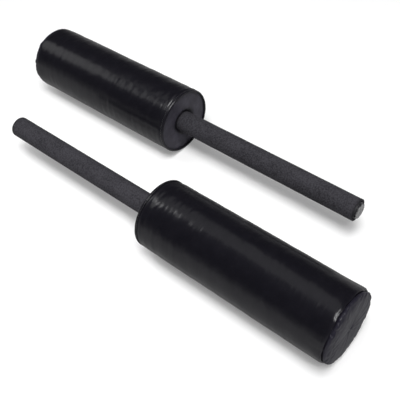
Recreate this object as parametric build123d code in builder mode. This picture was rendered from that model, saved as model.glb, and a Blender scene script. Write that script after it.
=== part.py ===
"""A pair of padded focus training sticks, lying side by side and head to tail.

Each stick is a plastic tube. Its bare half wears a foam grip, and its other half
runs through a fat foam pad sewn into a coated-fabric cover. Every piece is turned
about the stick's own axis, so its section is drawn on a plane whose X runs along the
stick, from the grip to the tip, and whose Y is the radius. Station 0 on that X is the
rim of the pad on the grip's side, so the grip has negative stations and the pad
positive ones. Sizes are in millimetres.
"""

from build123d import *
import os

# Pad
pad_diameter = 114.0
pad_length = 330.0  # from the rim on the grip's side to the seam at the tip
end_taper = 30.0  # length over which the pad narrows towards each end
shoulder_fall = 1.5  # drop of the radius at the grip's side
tip_fall = 2.0  # drop of the radius at the tip seam
core_diameter = 72.0
tip_cushion_depth = 40.0  # foam from the buried tube cap to the tip seam

# Cover
cover_thickness = 0.9
hem_length = 8.0  # edge of the sleeve, turned in at the tip seam
hem_edge_radius = 1.2
seam_allowance = 8.0  # edge of the tip panel, turned back inside that hem
tape_thickness = 0.5
tip_rise = 6.2  # face of the tip panel above its seam
tip_roll_width = 2.5  # from the seam in to where the panel's rolled edge turns flat
binding_thickness = 0.5
binding_width = 5.0
binding_corner = 0.8
panel_recess = 3.0  # panel on the grip's side, below the rim
board_thickness = 3.0

# Tube, with a push-in plug at the butt and a cap on the buried end
tube_diameter = 26.7
tube_wall = 2.9
tube_overhang = 1.0  # bare tube past the foam grip
cap_wall = 1.6
cap_skirt = 16.0
cap_end_thickness = 3.0
cap_chamfer = 1.6
plug_head_diameter = 25.6
plug_head_height = 3.0
plug_head_chamfer = 0.7
plug_shank_length = 16.0
plug_shank_wall = 1.6
plug_rib_height = 0.9
plug_rib_length = 3.0
plug_rib_pitch = 4.0
plug_rib_count = 3
plug_notch_count = 8
plug_notch_width = 3.0
plug_notch_depth = 1.5

# Foam grip
grip_diameter = 36.0
grip_length = 343.0  # the part of it outside the pad
grip_edge_radius = 2.0
grip_squeeze = 0.3  # how much smaller in radius the pad's hole is than the grip

# Lie of the pair
axis_spacing = 175.0
pad_offset = 52.0  # from the middle of the pair to each pad's rim, along the stick

fit = 0.15  # room between pieces that nest in each other

pad_radius = pad_diameter / 2
core_radius = core_diameter / 2
tube_radius = tube_diameter / 2
tube_bore_radius = tube_radius - tube_wall
grip_radius = grip_diameter / 2
hole_radius = grip_radius - grip_squeeze

board_station = panel_recess + cover_thickness + fit
foam_station = board_station + board_thickness + fit
cushion_station = pad_length - tip_cushion_depth
tube_tip_station = cushion_station - cap_end_thickness
tube_butt_station = -grip_length - tube_overhang

flange_radius = pad_radius - shoulder_fall - cover_thickness - fit
seam_radius = pad_radius - tip_fall - 2 * cover_thickness - fit
tape_inset = cover_thickness + fit
tape_station = pad_length - max(hem_length, seam_allowance) - fit

os.makedirs("parts", exist_ok=True)


def ring(start, end, inner, outer, mode=Mode.ADD):
    """Draw a ring's section, from one station and radius to another, in the open sketch."""
    with Locations(((start + end) / 2, (inner + outer) / 2)):
        Rectangle(end - start, outer - inner, mode=mode)


def pad_section(inset, start, end):
    """Half section of the pad between two stations, below its outline by an inset."""
    shoulder = (0, pad_radius - shoulder_fall - inset)
    straight_start = (end_taper, pad_radius - inset)
    straight_end = (pad_length - end_taper, pad_radius - inset)
    tip = (pad_length, pad_radius - tip_fall - inset)
    with BuildSketch() as section:
        with BuildLine():
            TangentArc(straight_start, shoulder, tangent=(-1, 0))
            Line(straight_start, straight_end)
            TangentArc(straight_end, tip, tangent=(1, 0))
            Polyline(tip, (pad_length, 0), (0, 0), shoulder)
        make_face()
        with Locations(((start + end) / 2, pad_radius)):
            Rectangle(end - start, 2 * pad_radius, mode=Mode.INTERSECT)
    return section.sketch


def tip_section(start, end):
    """Half section of the tip panel's outside: turned-back edge, roll and flat middle."""
    edge = (pad_length + tip_rise, seam_radius - tip_roll_width)
    with BuildSketch() as section:
        with BuildLine():
            roll = TangentArc(edge, (pad_length, seam_radius), tangent=(0, 1))
            Polyline(roll @ 1, (start, seam_radius), (start, 0), (edge[0], 0), roll @ 0)
        make_face()
        with Locations(((start + end) / 2, pad_radius)):
            Rectangle(end - start, 2 * pad_radius, mode=Mode.INTERSECT)
    return section.sketch


def tip_room(inset, start, end):
    """Half section of the room under the tip panel, an inset inside it."""
    roll_radius = (tip_rise**2 + tip_roll_width**2) / (2 * tip_rise)
    roll_station = pad_length + tip_rise - roll_radius
    roll_middle = seam_radius - tip_roll_width
    face_station = pad_length + tip_rise - inset
    with BuildSketch() as section:
        with BuildLine():
            Polyline(
                (start, seam_radius - inset),
                (pad_length, seam_radius - inset),
                (roll_station, roll_middle + roll_radius - inset),
                (face_station, roll_middle),
                (face_station, 0),
                (start, 0),
                close=True,
            )
        make_face()
        with Locations(((start + end) / 2, pad_radius)):
            Rectangle(end - start, 2 * pad_radius, mode=Mode.INTERSECT)
    return section.sketch


def make_core_tube(lie):
    """Rigid tube from the butt of the grip to the foam at the tip."""
    with BuildPart() as core_tube:
        with BuildSketch(lie):
            ring(tube_butt_station, tube_tip_station, tube_bore_radius, tube_radius)
        revolve(axis=Axis(lie.origin, lie.x_dir))
    return core_tube


def make_butt_plug(lie):
    """Push-in plug: a notched head on a hollow shank with barbed ribs."""
    head_radius = plug_head_diameter / 2
    shank_end = tube_butt_station + plug_shank_length
    rib_radius = tube_bore_radius - fit
    shank_radius = rib_radius - plug_rib_height
    first_root = tube_butt_station + plug_rib_pitch / 2
    head_face = Plane(
        lie.from_local_coords((tube_butt_station - plug_head_height, 0, 0)),
        z_dir=lie.x_dir,
    )
    with BuildPart() as butt_plug:
        with BuildSketch(lie) as section:
            ring(tube_butt_station - plug_head_height, tube_butt_station, 0, head_radius)
            rim = section.vertices().group_by(Axis.X)[0].sort_by(Axis.Y)[-1]
            chamfer(rim, length=plug_head_chamfer)
            ring(tube_butt_station, shank_end, 0, shank_radius)
            for index in range(plug_rib_count):
                root = first_root + plug_rib_pitch * index
                with BuildLine():
                    Polyline(
                        (root, shank_radius),
                        (root, rib_radius),
                        (root + plug_rib_length, shank_radius),
                        close=True,
                    )
                make_face()
            ring(tube_butt_station, shank_end, 0, shank_radius - plug_shank_wall, Mode.SUBTRACT)
        revolve(axis=Axis(lie.origin, lie.x_dir))
        with BuildSketch(head_face):
            with PolarLocations(head_radius, plug_notch_count):
                Rectangle(2 * plug_notch_depth, plug_notch_width)
        extrude(amount=plug_head_height, mode=Mode.SUBTRACT)
    return butt_plug


def make_tube_cap(lie):
    """Cap that keeps the buried end of the tube from cutting the foam."""
    inner = tube_radius + fit
    outer = inner + cap_wall
    skirt_station = tube_tip_station - cap_skirt
    with BuildPart() as tube_cap:
        with BuildSketch(lie) as section:
            ring(skirt_station, tube_tip_station, inner, outer)
            ring(tube_tip_station, cushion_station, 0, outer)
            edge = section.vertices().group_by(Axis.X)[-1].sort_by(Axis.Y)[-1]
            chamfer(edge, length=cap_chamfer)
        revolve(axis=Axis(lie.origin, lie.x_dir))
    return tube_cap


def make_grip_sleeve(lie):
    """Foam grip on the tube, squeezed by the pad's hole, up to the foam core."""
    with BuildPart() as grip_sleeve:
        with BuildSketch(lie) as section:
            ring(-grip_length, panel_recess - fit, tube_radius + fit, grip_radius)
            edge = section.vertices().group_by(Axis.X)[0].sort_by(Axis.Y)[-1]
            fillet(edge, radius=grip_edge_radius)
            ring(panel_recess - fit, foam_station - fit, tube_radius + fit, hole_radius - fit)
        revolve(axis=Axis(lie.origin, lie.x_dir))
    return grip_sleeve


def make_foam_core(lie):
    """Dense foam cylinder round the tube, bored out for the cap."""
    cap_seat_radius = tube_radius + cap_wall + 2 * fit
    cap_seat_station = tube_tip_station - cap_skirt - fit
    with BuildPart() as foam_core:
        with BuildSketch(lie):
            ring(foam_station, cushion_station, tube_radius + fit, core_radius)
            ring(cap_seat_station, cushion_station, 0, cap_seat_radius, Mode.SUBTRACT)
        revolve(axis=Axis(lie.origin, lie.x_dir))
    return foam_core


def make_foam_wrap(lie):
    """Softer foam rolled round the core, which gives the pad its outline."""
    with BuildPart() as foam_wrap:
        with BuildSketch(lie):
            add(pad_section(cover_thickness + fit, foam_station, cushion_station))
            ring(foam_station, cushion_station, 0, core_radius + fit, Mode.SUBTRACT)
        revolve(axis=Axis(lie.origin, lie.x_dir))
    return foam_wrap


def make_tip_cushion(lie):
    """Full-width foam block past the cap, stepped for the seam and filling the tip panel."""
    step_station = tape_station - tape_thickness - fit
    tip_station = pad_length + tip_rise
    with BuildPart() as tip_cushion:
        with BuildSketch(lie):
            add(pad_section(cover_thickness + fit, cushion_station + fit, step_station))
            add(tip_room(tape_inset + tape_thickness + fit, step_station, tip_station))
        revolve(axis=Axis(lie.origin, lie.x_dir))
    return tip_cushion


def make_shoulder_board(lie):
    """Stiff ring that keeps the panel on the grip's side flat."""
    end = board_station + board_thickness
    with BuildPart() as shoulder_board:
        with BuildSketch(lie):
            add(pad_section(cover_thickness + fit, board_station, end))
            ring(board_station, end, 0, hole_radius, Mode.SUBTRACT)
        revolve(axis=Axis(lie.origin, lie.x_dir))
    return shoulder_board


def make_cover_sleeve(lie):
    """Main cover, cut off square at the rim and hemmed inwards at the tip seam."""
    start = binding_thickness + fit
    hem_station = pad_length - hem_length
    with BuildPart() as cover_sleeve:
        with BuildSketch(lie) as section:
            add(pad_section(0, start, pad_length))
            add(pad_section(cover_thickness, start, hem_station), mode=Mode.SUBTRACT)
            add(pad_section(2 * cover_thickness, hem_station, pad_length), mode=Mode.SUBTRACT)
            edge = section.vertices().group_by(Axis.X)[-1].sort_by(Axis.Y)[-1]
            fillet(edge, radius=hem_edge_radius)
        revolve(axis=Axis(lie.origin, lie.x_dir))
    return cover_sleeve


def make_shoulder_panel(lie):
    """Ring-shaped end panel, its edge turned out along the inside of the sleeve."""
    edge_station = binding_thickness + fit
    face_end = panel_recess + cover_thickness
    with BuildPart() as shoulder_panel:
        with BuildSketch(lie):
            ring(panel_recess, face_end, hole_radius, flange_radius)
            ring(edge_station, panel_recess, flange_radius - cover_thickness, flange_radius)
        revolve(axis=Axis(lie.origin, lie.x_dir))
    return shoulder_panel


def make_edge_binding(lie):
    """Tape folded over the rim, round the edges of the sleeve and the end panel."""
    inside = flange_radius - cover_thickness - fit
    with BuildPart() as edge_binding:
        with BuildSketch(lie) as section:
            add(pad_section(-fit - binding_thickness, 0, binding_width))
            ring(0, binding_width, 0, inside - binding_thickness, Mode.SUBTRACT)
            ring(panel_recess - fit, binding_width, 0, pad_radius - shoulder_fall, Mode.SUBTRACT)
            corners = section.vertices().group_by(Axis.X)[0]
            chamfer(corners, length=binding_corner)
            with BuildSketch(mode=Mode.SUBTRACT):
                add(pad_section(-fit, binding_thickness, binding_width))
                ring(binding_thickness, binding_width, 0, inside, Mode.SUBTRACT)
        revolve(axis=Axis(lie.origin, lie.x_dir))
    return edge_binding


def make_tip_panel(lie):
    """Round end panel with a rolled rim, its edge turned back inside the sleeve's hem."""
    start = pad_length - seam_allowance
    end = pad_length + tip_rise
    with BuildPart() as tip_panel:
        with BuildSketch(lie):
            add(tip_section(start, end))
            add(tip_room(cover_thickness, start, end), mode=Mode.SUBTRACT)
        revolve(axis=Axis(lie.origin, lie.x_dir))
    return tip_panel


def make_seam_tape(lie):
    """Tape sewn over the raw edges of the tip seam, inside the cover."""
    turn = tape_station - tape_thickness
    end = pad_length - fit
    with BuildPart() as seam_tape:
        with BuildSketch(lie):
            add(pad_section(cover_thickness + fit, turn, tape_station))
            add(tip_room(tape_inset, tape_station, end))
            add(tip_room(tape_inset + tape_thickness, turn, end), mode=Mode.SUBTRACT)
        revolve(axis=Axis(lie.origin, lie.x_dir))
    return seam_tape


makers = {
    "core_tube": make_core_tube,
    "butt_plug": make_butt_plug,
    "tube_cap": make_tube_cap,
    "grip_sleeve": make_grip_sleeve,
    "foam_core": make_foam_core,
    "foam_wrap": make_foam_wrap,
    "tip_cushion": make_tip_cushion,
    "shoulder_board": make_shoulder_board,
    "cover_sleeve": make_cover_sleeve,
    "shoulder_panel": make_shoulder_panel,
    "edge_binding": make_edge_binding,
    "tip_panel": make_tip_panel,
    "seam_tape": make_seam_tape,
}

# The two sticks are alike. One is the other turned half round about the upright axis.
for stick, direction in (("stick_a", 1), ("stick_b", -1)):
    lie = Plane(
        origin=(direction * pad_offset, -direction * axis_spacing / 2, pad_radius),
        x_dir=(direction, 0, 0),
        z_dir=(0, -direction, 0),
    )
    for name, make_piece in makers.items():
        piece = make_piece(lie)
        piece.part.label = f"{stick}_{name}"
        export_step(piece.part, f"parts/{stick}_{name}.step")
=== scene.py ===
"""Looks of a pair of padded focus training sticks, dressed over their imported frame.

A stick is a plastic tube with a foam grip on its bare half and, on its other half, a fat foam
pad in a sewn cover of coated fabric. A place on a stick is given by its station along the axis,
its reach from the axis and its turn about it. Station 0 is the rim of the pad on the grip's
side, stations grow towards the tip, and a turn of 90 degrees faces up. Sizes are in metres.
"""

import functools
import itertools
import logging
import math
from dataclasses import dataclass
from enum import Enum

import bpy
import numpy as np
from mathutils import Matrix, Vector


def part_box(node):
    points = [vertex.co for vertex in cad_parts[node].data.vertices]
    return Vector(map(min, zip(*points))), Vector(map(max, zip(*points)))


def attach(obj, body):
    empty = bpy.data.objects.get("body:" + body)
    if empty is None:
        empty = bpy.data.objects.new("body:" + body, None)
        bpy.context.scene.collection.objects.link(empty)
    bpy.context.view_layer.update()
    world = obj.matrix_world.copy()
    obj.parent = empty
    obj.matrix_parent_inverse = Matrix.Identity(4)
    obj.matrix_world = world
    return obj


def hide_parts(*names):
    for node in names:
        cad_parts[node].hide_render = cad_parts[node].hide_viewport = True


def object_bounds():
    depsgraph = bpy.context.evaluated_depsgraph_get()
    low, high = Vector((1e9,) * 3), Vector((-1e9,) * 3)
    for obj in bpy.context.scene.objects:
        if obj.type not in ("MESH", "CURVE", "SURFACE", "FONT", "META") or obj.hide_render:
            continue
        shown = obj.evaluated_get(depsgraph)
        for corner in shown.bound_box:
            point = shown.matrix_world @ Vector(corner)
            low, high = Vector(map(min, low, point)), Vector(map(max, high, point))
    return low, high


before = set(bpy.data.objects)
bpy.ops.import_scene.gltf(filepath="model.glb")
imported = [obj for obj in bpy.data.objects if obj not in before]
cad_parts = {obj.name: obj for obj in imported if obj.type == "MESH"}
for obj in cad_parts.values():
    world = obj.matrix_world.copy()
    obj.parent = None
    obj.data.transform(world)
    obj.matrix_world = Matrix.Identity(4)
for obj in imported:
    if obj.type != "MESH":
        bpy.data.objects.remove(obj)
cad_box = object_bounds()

log = logging.getLogger("training_sticks")

Colour = tuple[float, float, float]
Socket = bpy.types.NodeSocket
Places = tuple[np.ndarray | float, np.ndarray, np.ndarray]  # stations, reaches and turns
Section = list[tuple[float, float]]  # stations and reaches

FULL_TURN = 2.0 * math.pi
CLOTH = 0.0009  # thickness of the coated fabric
FIT = 0.00015  # room between pieces that lie on each other
NUDGE = 0.001  # small step, in metres or radians, that shows which way a surface runs


def smooth_step(value: np.ndarray) -> np.ndarray:
    """Ease from 0 to 1 with no slope at either end."""
    held = np.clip(value, 0.0, 1.0)
    return held * held * (3.0 - 2.0 * held)


@dataclass(frozen=True)
class Ridge:
    """Soft ridge across a surface, or a groove where its height is below zero.

    Attributes:
        height: Height of its middle.
        place: Where its middle lies.
        width: How far from there it has all but died away.
    """

    height: float
    place: float
    width: float

    def at(self, way: np.ndarray) -> np.ndarray:
        """Give the ridge's height at some places."""
        return self.height * np.exp(-(((way - self.place) / self.width) ** 2))


@dataclass(frozen=True)
class Ramp:
    """Smooth climb from 0 to 1 along a surface.

    Attributes:
        start: Where it starts.
        width: How far it goes until it has ended, below zero where it climbs backwards.
    """

    start: float
    width: float

    def at(self, way: np.ndarray) -> np.ndarray:
        """Give the ramp's share at some places."""
        return smooth_step((way - self.start) / self.width)


class Drift:
    """Smooth random drift through space, the same on every run."""

    def __init__(self, seed: int, size: int = 32) -> None:
        """Fill the lattice that the drift passes through, which repeats after its size."""
        self.size = size
        self.lattice = np.random.default_rng(seed).uniform(-1.0, 1.0, (size, size, size))

    def at(self, along: np.ndarray, across: np.ndarray, up: np.ndarray) -> np.ndarray:
        """Read the drift.

        Args:
            along: First coordinate, in lattice steps.
            across: Second coordinate, in lattice steps.
            up: Third coordinate, in lattice steps.

        Returns:
            Drift between -1 and 1 at each place.
        """
        places = np.broadcast_arrays(along, across, up)
        corners = [np.floor(place).astype(int) for place in places]
        parts = [smooth_step(place - corner) for place, corner in zip(places, corners)]
        total = np.zeros(places[0].shape)
        for steps in itertools.product((0, 1), repeat=3):
            weight = np.ones_like(total)
            for part, step in zip(parts, steps):
                weight = weight * (part if step else 1.0 - part)
            index = tuple((corner + step) % self.size for corner, step in zip(corners, steps))
            total += weight * self.lattice[index]
        return total

    def on_skin(self, where: Places, along: float, across: float) -> np.ndarray:
        """Read the drift on a round skin.

        Args:
            where: Stations, reaches and turns of the places.
            along: Size of the drift along the axis.
            across: Its size across the axis.

        Returns:
            Drift between -1 and 1 at each place.
        """
        station, reach, turn = where
        return self.at(
            station / along, reach * np.cos(turn) / across, reach * np.sin(turn) / across
        )


@dataclass(frozen=True)
class Span:
    """Room that a solid takes on its stick.

    Attributes:
        start: Lowest station.
        end: Highest station.
        reach: Largest distance from the axis.
    """

    start: float
    end: float
    reach: float


@dataclass(frozen=True)
class Lie:
    """How a stick lies in the frame.

    Attributes:
        body: Name of the body that the stick's pieces ride on.
        rim: Point on the axis at station 0.
        heading: 1 where the tip points along +X, -1 where it points along -X.
    """

    body: str
    rim: Vector
    heading: float

    @classmethod
    def of_stick(cls, body: str) -> "Lie":
        """Read a stick's lie from its solids.

        Args:
            body: Name of the stick's body.

        Returns:
            The lie of that stick.
        """
        low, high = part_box(f"{body}_edge_binding")
        tip_low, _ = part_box(f"{body}_tip_panel")
        heading = 1.0 if tip_low.x > low.x else -1.0
        middle = (low + high) / 2.0
        return cls(body, Vector((low.x if heading > 0 else high.x, middle.y, middle.z)), heading)

    def span(self, node: str) -> Span:
        """Give the stations and the reach of one of this stick's solids.

        Args:
            node: Name of the solid without the stick's name.

        Returns:
            Its span.
        """
        low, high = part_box(f"{self.body}_{node}")
        ends = sorted((end - self.rim.x) * self.heading for end in (low.x, high.x))
        return Span(ends[0], ends[1], (high.z - low.z) / 2.0)

    def place(self, station: np.ndarray, reach: np.ndarray, turn: np.ndarray) -> np.ndarray:
        """Give the points at some stations, reaches and turns.

        Args:
            station: Distance along the axis from the rim.
            reach: Distance from the axis.
            turn: Angle about the axis, in radians.

        Returns:
            Points in the frame, with their coordinates along the last axis.
        """
        station, reach, turn = np.broadcast_arrays(station, reach, turn)
        return np.stack(
            (
                self.rim.x + self.heading * station,
                self.rim.y + self.heading * reach * np.cos(turn),
                self.rim.z + reach * np.sin(turn),
            ),
            axis=-1,
        )


def circle(sides: int) -> np.ndarray:
    """Give even turns all the way round, as one row."""
    return np.linspace(0.0, FULL_TURN, sides, endpoint=False)[None, :]


def spread(values: np.ndarray | list[float], turn: np.ndarray) -> np.ndarray:
    """Repeat a column of values for every turn."""
    return np.asarray(values)[:, None] * np.ones_like(turn)


def swept(section: Section, turn: np.ndarray) -> tuple[np.ndarray, np.ndarray]:
    """Give a section's stations and reaches at every turn."""
    points = np.array(section)
    return spread(points[:, 0], turn), spread(points[:, 1], turn)


def arc(centre: tuple[float, float], radius: float, start: float, end: float,
        count: int) -> Section:
    """Round a corner of a section.

    Args:
        centre: Station and reach of the arc's centre.
        radius: Its radius.
        start: Angle of its first point, in degrees from the way to the tip.
        end: Angle of its last point.
        count: How many points it has.

    Returns:
        The arc's points.
    """
    angles = np.radians(np.linspace(start, end, count))
    return [
        (centre[0] + radius * math.cos(angle), centre[1] + radius * math.sin(angle))
        for angle in angles
    ]


def quads(courses: int, sides: int, closed: bool = True) -> list[tuple[int, ...]]:
    """List the faces between neighbouring courses of points round an axis.

    Args:
        courses: Number of courses.
        sides: Points in each course.
        closed: Whether the last course joins the first.

    Returns:
        Corners of each face, course by course.
    """
    index = np.arange(courses * sides).reshape(courses, sides)
    after = np.roll(index, -1, axis=0)
    around = (index, np.roll(index, -1, axis=1), np.roll(after, -1, axis=1), after)
    faces = np.stack(around, axis=-1)[: courses if closed else courses - 1]
    return [tuple(face) for face in faces.reshape(-1, 4).tolist()]


def mesh_object(name: str, points: np.ndarray, faces: list[tuple[int, ...]]) -> bpy.types.Object:
    """Make an object with a smooth mesh.

    Args:
        name: Name of the object and of its mesh.
        points: Vertices, with their coordinates along the last axis.
        faces: Corners of each face, as places in the flattened rows of vertices.

    Returns:
        The object, linked to the scene.
    """
    mesh = bpy.data.meshes.new(name)
    mesh.from_pydata(points.reshape(-1, 3).tolist(), [], faces)
    mesh.validate()
    mesh.shade_smooth()
    made = bpy.data.objects.new(name, mesh)
    bpy.context.scene.collection.objects.link(made)
    return made


def turned_object(name: str, courses: np.ndarray) -> bpy.types.Object:
    """Make an object whose courses of points close round its section and its axis."""
    return mesh_object(name, courses, quads(*courses.shape[:2]))


def on_floor(points: np.ndarray) -> np.ndarray:
    """Flatten what would go through the floor."""
    points[..., 2] = np.maximum(points[..., 2], cad_box[0].z)
    return points


class Recipe:
    """A material whose shader nodes are being put together."""

    def __init__(self, name: str) -> None:
        """Start an empty material.

        Args:
            name: Its name.
        """
        self.material = bpy.data.materials.new(name)
        self.material.use_nodes = True
        self.tree = self.material.node_tree
        self.tree.nodes.clear()

    def node(self, kind: str, inputs: dict[str | int, object],
             **settings: object) -> bpy.types.Node:
        """Add a node.

        Args:
            kind: Its type, without the prefix.
            inputs: Numbers, colours or other nodes' sockets, by the inputs that take them.
            **settings: Its other settings.

        Returns:
            The node.
        """
        made = self.tree.nodes.new(f"ShaderNode{kind}")
        for name, value in settings.items():
            setattr(made, name, value)
        for name, value in inputs.items():
            socket = made.inputs[name]
            if isinstance(value, Socket):
                self.tree.links.new(value, socket)
            elif socket.type == "RGBA":
                socket.default_value = (*value, 1.0)
            else:
                socket.default_value = value
        return made

    def stretch(self, steps: Colour) -> Socket:
        """Give places on the object, divided by a step along each axis.

        Args:
            steps: Size of one step along X, Y and Z.

        Returns:
            Places counted in steps.
        """
        places = self.node("TexCoord", {}).outputs["Object"]
        scale = tuple(1.0 / step for step in steps)
        return self.node("Mapping", {"Vector": places, "Scale": scale}).outputs["Vector"]

    def cloud(self, steps: Colour, detail: float = 2.0, seed: float = 0.0) -> Socket:
        """Add cloudy noise between 0 and 1, whose blots have the size of the steps."""
        inputs = {"Vector": self.stretch(steps), "W": seed, "Scale": 1.0, "Detail": detail}
        return self.node("TexNoise", inputs, noise_dimensions="4D").outputs["Fac"]

    def cells(self, step: float) -> Socket:
        """Add a pattern of cells, read as the distance from each cell's middle."""
        inputs = {"Vector": self.stretch((step, step, step)), "Scale": 1.0}
        return self.node("TexVoronoi", inputs).outputs["Distance"]

    def between(self, share: Socket, low: float, high: float,
                start: float = 0.3, end: float = 0.7) -> Socket:
        """Go from a low number to a high one while a share goes from its start to its end."""
        inputs = {"Value": share, "From Min": start, "From Max": end, "To Min": low, "To Max": high}
        return self.node("MapRange", inputs).outputs["Result"]

    def blend(self, share: Socket, first: Colour, second: Colour) -> Socket:
        """Mix a share of the second colour into the first."""
        return self.node("Mix", {0: share, 6: first, 7: second}, data_type="RGBA").outputs[2]

    def reckon(self, first: Socket, second: Socket | float, operation: str = "ADD") -> Socket:
        """Work out a number from two others."""
        return self.node("Math", {0: first, 1: second}, operation=operation).outputs[0]

    def relief(self, height: Socket, depth: float, under: Socket | None = None) -> Socket:
        """Bend the surface's normal by a height.

        Args:
            height: Height in shares of the depth.
            depth: Depth of the relief.
            under: Normal of a coarser relief that this one lies on.

        Returns:
            The bent normal.
        """
        coarser = {} if under is None else {"Normal": under}
        inputs = {"Distance": depth, "Height": height} | coarser
        return self.node("Bump", inputs).outputs["Normal"]

    def show(self, surface: Socket) -> bpy.types.Material:
        """Put a shader on the surface and hand the material over."""
        self.node("OutputMaterial", {"Surface": surface})
        return self.material

    def finish(self, **values: object) -> bpy.types.Material:
        """Shade the surface with values given by socket name, with _ for a space."""
        inputs = {name.replace("_", " "): value for name, value in values.items()}
        return self.show(self.node("BsdfPrincipled", inputs).outputs[0])


@dataclass(frozen=True)
class CoatedFabric:
    """Woven fabric with a glossy black plastic coat.

    Attributes:
        name: Name of the material.
        deep: Colour where the coat is fresh, and on the end panel the painted shade round the
            grip's hole.
        worn: Colour where the coat is worn, and on the end panel the face's colour outside the
            painted shade round the grip's hole.
        gloss_rough: Roughness of the glossier patches under the coat.
        dull_rough: Roughness of the duller patches.
        coat: How much of the clear coat is left on it.
        coat_rough: Roughness of that coat.
        grain: Size of the pressed-in leather grain.
        grain_depth: Depth of that grain.
        pucker_size: Size of the fine cross puckers along X, Y and Z.
        pucker_depth: Depth of those puckers.
    """

    name: str = "coated_fabric"
    deep: Colour = (0.0044, 0.0041, 0.0064)
    worn: Colour = (0.0100, 0.0094, 0.0130)
    gloss_rough: float = 0.46
    dull_rough: float = 0.58
    coat: float = 0.14
    coat_rough: float = 0.22
    grain: float = 0.0011
    grain_depth: float = 0.00005
    pucker_size: Colour = (0.0050, 0.028, 0.028)
    pucker_depth: float = 0.00030

    def make(self) -> bpy.types.Material:
        """Make the material.

        Returns:
            The material.
        """
        recipe = Recipe(self.name)
        patches = recipe.cloud((0.040, 0.030, 0.030), 3.0)
        wear_and_shade = recipe.cloud((0.012, 0.012, 0.012), 4.0, 7.0)
        # The stored mark holds worn stretches, and on the end panel the painted shade round the
        # grip's hole.
        edges = recipe.node("Attribute", {}, attribute_name="wear_and_shade").outputs["Fac"]
        share = recipe.reckon(recipe.between(wear_and_shade, 0.0, 0.35, 0.45, 0.8), edges)
        coarse = recipe.relief(recipe.cloud(self.pucker_size, 0.8, 3.0), self.pucker_depth)
        return recipe.finish(
            Base_Color=recipe.blend(share, self.deep, self.worn),
            Roughness=recipe.reckon(
                recipe.between(patches, self.gloss_rough, self.dull_rough),
                recipe.reckon(edges, 0.10, "MULTIPLY"),
            ),
            IOR=1.10,
            Specular_Tint=(0.80, 0.77, 1.0),
            Coat_IOR=2.0,
            Coat_Weight=self.coat,
            Coat_Roughness=self.coat_rough,
            Coat_Normal=coarse,
            Normal=recipe.relief(recipe.cells(self.grain), self.grain_depth, coarse),
        )


@dataclass(frozen=True)
class WovenTape:
    """Plain woven tape, as over the raw edges inside the seams.

    Attributes:
        name: Name of the material.
        dark: Colour between the yarns.
        light: Colour on top of the yarns.
        yarn: Distance from yarn to yarn.
        yarn_depth: Depth of the gaps between them.
    """

    name: str = "woven_tape"
    dark: Colour = (0.004, 0.004, 0.005)
    light: Colour = (0.014, 0.014, 0.016)
    yarn: float = 0.0006
    yarn_depth: float = 0.0001

    def make(self) -> bpy.types.Material:
        """Make the material.

        Returns:
            The material.
        """
        recipe = Recipe(self.name)
        yarns = recipe.cells(self.yarn)
        fuzz = recipe.cloud((0.003, 0.003, 0.003), 4.0)
        share = recipe.reckon(recipe.between(yarns, 0.9, 0.0, 0.0, 0.7), fuzz, "MULTIPLY")
        return recipe.finish(
            Base_Color=recipe.blend(share, self.dark, self.light),
            Roughness=recipe.between(fuzz, 0.45, 0.65),
            Sheen_Weight=0.15,
            Normal=recipe.relief(yarns, self.yarn_depth),
        )


@dataclass(frozen=True)
class SoftFoam:
    """Foam with pores, cut or moulded.

    Attributes:
        name: Name of the material.
        pore_colour: Colour down in the pores.
        skin_colour: Colour between the pores.
        pore: Size of a pore.
        pore_depth: Depth of the pores.
        lump: Size of the wider lumps.
        lump_depth: Depth of those lumps.
    """

    name: str
    pore_colour: Colour
    skin_colour: Colour
    pore: float = 0.0008
    pore_depth: float = 0.00012
    lump: float = 0.0024
    lump_depth: float = 0.00025

    def make(self) -> bpy.types.Material:
        """Make the material.

        Returns:
            The material.
        """
        recipe = Recipe(self.name)
        pores = recipe.cells(self.pore)
        lumps = recipe.cloud((self.lump,) * 3, 3.0)
        patches = recipe.cloud((0.03, 0.02, 0.02), 2.0, 5.0)
        open_share = recipe.between(pores, 0.0, 0.5, 0.1, 0.6)
        share = recipe.reckon(open_share, recipe.between(lumps, -0.15, 0.65, 0.35, 0.65))
        tone = recipe.reckon(share, recipe.between(patches, -0.1, 0.2))
        return recipe.finish(
            Base_Color=recipe.blend(tone, self.pore_colour, self.skin_colour),
            Roughness=recipe.between(lumps, 0.88, 1.0),
            Specular_IOR_Level=0.08,
            Normal=recipe.relief(pores, self.pore_depth, recipe.relief(lumps, self.lump_depth)),
        )


@dataclass(frozen=True)
class MouldedPlastic:
    """Moulded or drawn plastic with a fine satin skin.

    Attributes:
        name: Name of the material.
        colour: Its colour.
        scuffed: Colour where it is scuffed.
        rough: Roughness of the skin.
        scuff_rough: Roughness that scuffs add.
        sink: Depth of the shallow sink marks.
        skin_depth: Depth of the skin's fine texture.
    """

    name: str
    colour: Colour
    scuffed: Colour
    rough: float = 0.35
    scuff_rough: float = 0.15
    sink: float = 0.00010
    skin_depth: float = 0.00003

    def make(self) -> bpy.types.Material:
        """Make the material.

        Returns:
            The material.
        """
        recipe = Recipe(self.name)
        skin = recipe.cloud((0.0006, 0.0006, 0.0006), 3.0)
        sinks = recipe.relief(recipe.cloud((0.0045, 0.0045, 0.0045), 1.0, 5.0), self.sink)
        scuffs = recipe.cloud((0.004, 0.0015, 0.0015), 5.0, 2.0)
        share = recipe.between(scuffs, 0.0, 1.0, 0.5, 0.75)
        return recipe.finish(
            Base_Color=recipe.blend(share, self.colour, self.scuffed),
            Roughness=recipe.between(scuffs, self.rough, self.rough + self.scuff_rough),
            Normal=recipe.relief(skin, self.skin_depth, sinks),
        )


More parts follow.
